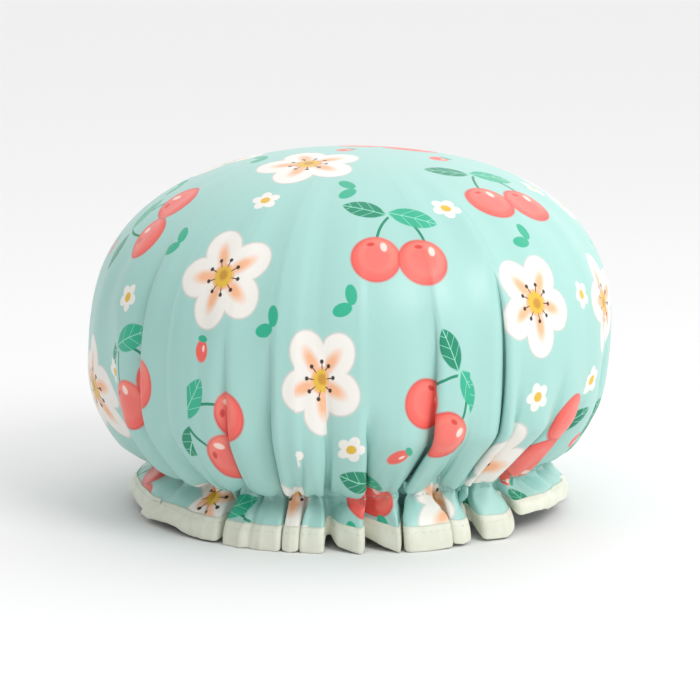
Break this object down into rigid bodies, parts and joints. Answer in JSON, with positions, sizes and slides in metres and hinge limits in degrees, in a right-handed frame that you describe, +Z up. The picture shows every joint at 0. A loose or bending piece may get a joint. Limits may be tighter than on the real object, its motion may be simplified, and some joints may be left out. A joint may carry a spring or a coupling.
{
  "type": "shower cap",
  "caption": "Puffed bathing cap of printed satin over a waterproof liner, drawn in by an elastic in a sewn channel above a ruffle with a bound hem.",
  "frame": {"origin": "middle of the floor under the cap, at the foot of the hem", "axes": "+Z up through the crown's top, -Y towards the side seen in the picture, +X to its right"},
  "size_m": [0.2475, 0.2457, 0.169],
  "materials": {
    "satin": "smooth polyester satin with an all-over print, glossy",
    "liner": "soft translucent waterproof film",
    "elastic": "woven elastic, matt",
    "tape": "woven binding tape, matt cream",
    "mint_thread": "polyester sewing thread",
    "cream_thread": "polyester sewing thread"
  },
  "bodies": {
    "root": {"outer_shell": "satin", "inner_liner": "liner", "elastic_band": "elastic", "hem_binding": "tape", "channel_seam_upper": "mint_thread", "channel_seam_lower": "mint_thread", "binding_seam": "cream_thread"}
  },
  "joints": []
}
